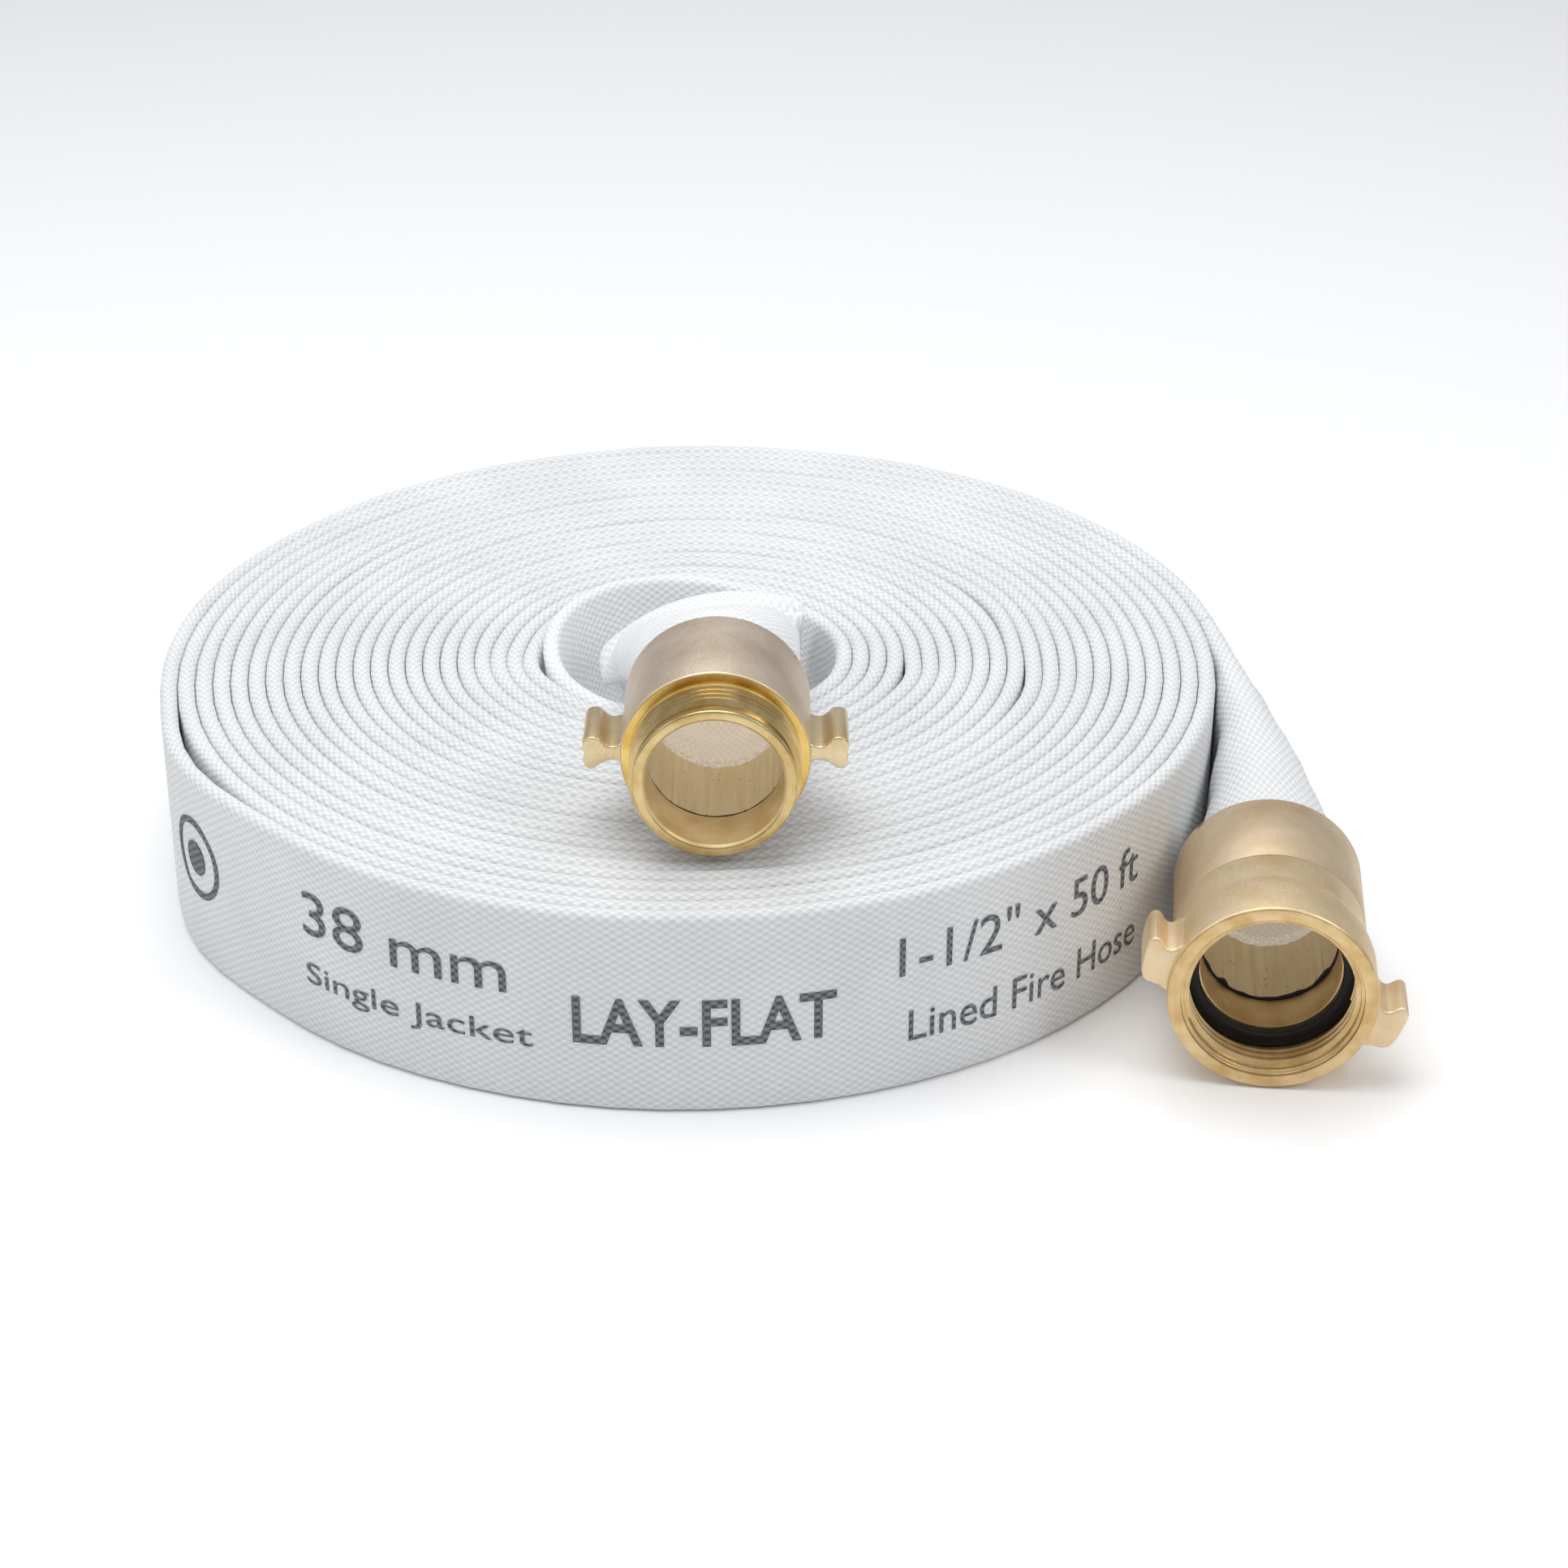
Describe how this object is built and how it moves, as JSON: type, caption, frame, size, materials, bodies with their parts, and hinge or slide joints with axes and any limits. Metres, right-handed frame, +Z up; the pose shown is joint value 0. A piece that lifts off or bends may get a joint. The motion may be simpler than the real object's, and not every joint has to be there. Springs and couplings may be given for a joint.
{
  "type": "rolled fire hose",
  "caption": "Lay-flat fire hose wound on its edge into a disc, with a brass male coupling lying on top and a swivelling brass female coupling beside it.",
  "frame": {"origin": "middle of the object's box, on the surface that the roll lies on", "axes": "+Z up along the roll's axis, -Y the way both couplings face, +X towards the outer end of the hose"},
  "size_m": [0.367, 0.3288, 0.1163],
  "materials": {
    "woven_jacket": "matt white woven polyester",
    "hose_liner": "cream, smooth, with the weave showing through",
    "cast_brass": "fine blasted casting with brighter turned faces",
    "ring_brass": "pale, smooth, expanded in place",
    "black_rubber": "matt black",
    "bearing_steel": "bright"
  },
  "bodies": {
    "roll": {"hose_roll": "woven_jacket", "inner_riser": "woven_jacket"},
    "male_end": {"inner_tail": "woven_jacket", "male_hose_liner": "hose_liner", "male_tail_gasket": "black_rubber", "male_expansion_ring": "ring_brass", "male_coupling_body": "cast_brass"},
    "female_end": {"outer_tail": "woven_jacket", "female_hose_liner": "hose_liner", "female_tail_gasket": "black_rubber", "female_expansion_ring": "ring_brass", "female_bowl": "cast_brass"},
    "swivel": {"swivel_nut": "cast_brass", "swivel_gasket": "black_rubber", "ball_race_plug": "bearing_steel"},
    "ball_row": {"race_ball_01": "bearing_steel", "race_ball_02": "bearing_steel", "race_ball_03": "bearing_steel", "race_ball_04": "bearing_steel", "race_ball_05": "bearing_steel", "race_ball_06": "bearing_steel", "race_ball_07": "bearing_steel", "race_ball_08": "bearing_steel", "race_ball_09": "bearing_steel", "race_ball_10": "bearing_steel", "race_ball_11": "bearing_steel", "race_ball_12": "bearing_steel", "race_ball_13": "bearing_steel", "race_ball_14": "bearing_steel", "race_ball_15": "bearing_steel", "race_ball_16": "bearing_steel", "race_ball_17": "bearing_steel", "race_ball_18": "bearing_steel", "race_ball_19": "bearing_steel", "race_ball_20": "bearing_steel", "race_ball_21": "bearing_steel", "race_ball_22": "bearing_steel", "race_ball_23": "bearing_steel", "race_ball_24": "bearing_steel"}
  },
  "joints": [
    {"name": "male_lift", "type": "hinge", "parent": "roll", "child": "male_end", "pos_m": [-0.01544, -0.01107, 0.08695], "axis": [-0.98, -0.1108, -0.1655], "range_deg": [0, 60]},
    {"name": "female_swing", "type": "hinge", "parent": "roll", "child": "female_end", "pos_m": [0.14623, 0.02166, 0.0317], "axis": [0, 0, 1], "range_deg": [0, 75]},
    {"name": "swivel_spin", "type": "hinge", "parent": "female_end", "child": "swivel", "pos_m": [0.14403, -0.15234, 0.0296], "axis": [-0.1045, -0.9945, 0], "continuous": true},
    {"name": "ball_orbit", "type": "hinge", "parent": "female_end", "child": "ball_row", "pos_m": [0.14403, -0.15234, 0.0296], "axis": [-0.1045, -0.9945, 0], "continuous": true}
  ],
  "couplings": [
    {"joint": "ball_orbit", "follows": "swivel_spin", "ratio": 0.5}
  ]
}
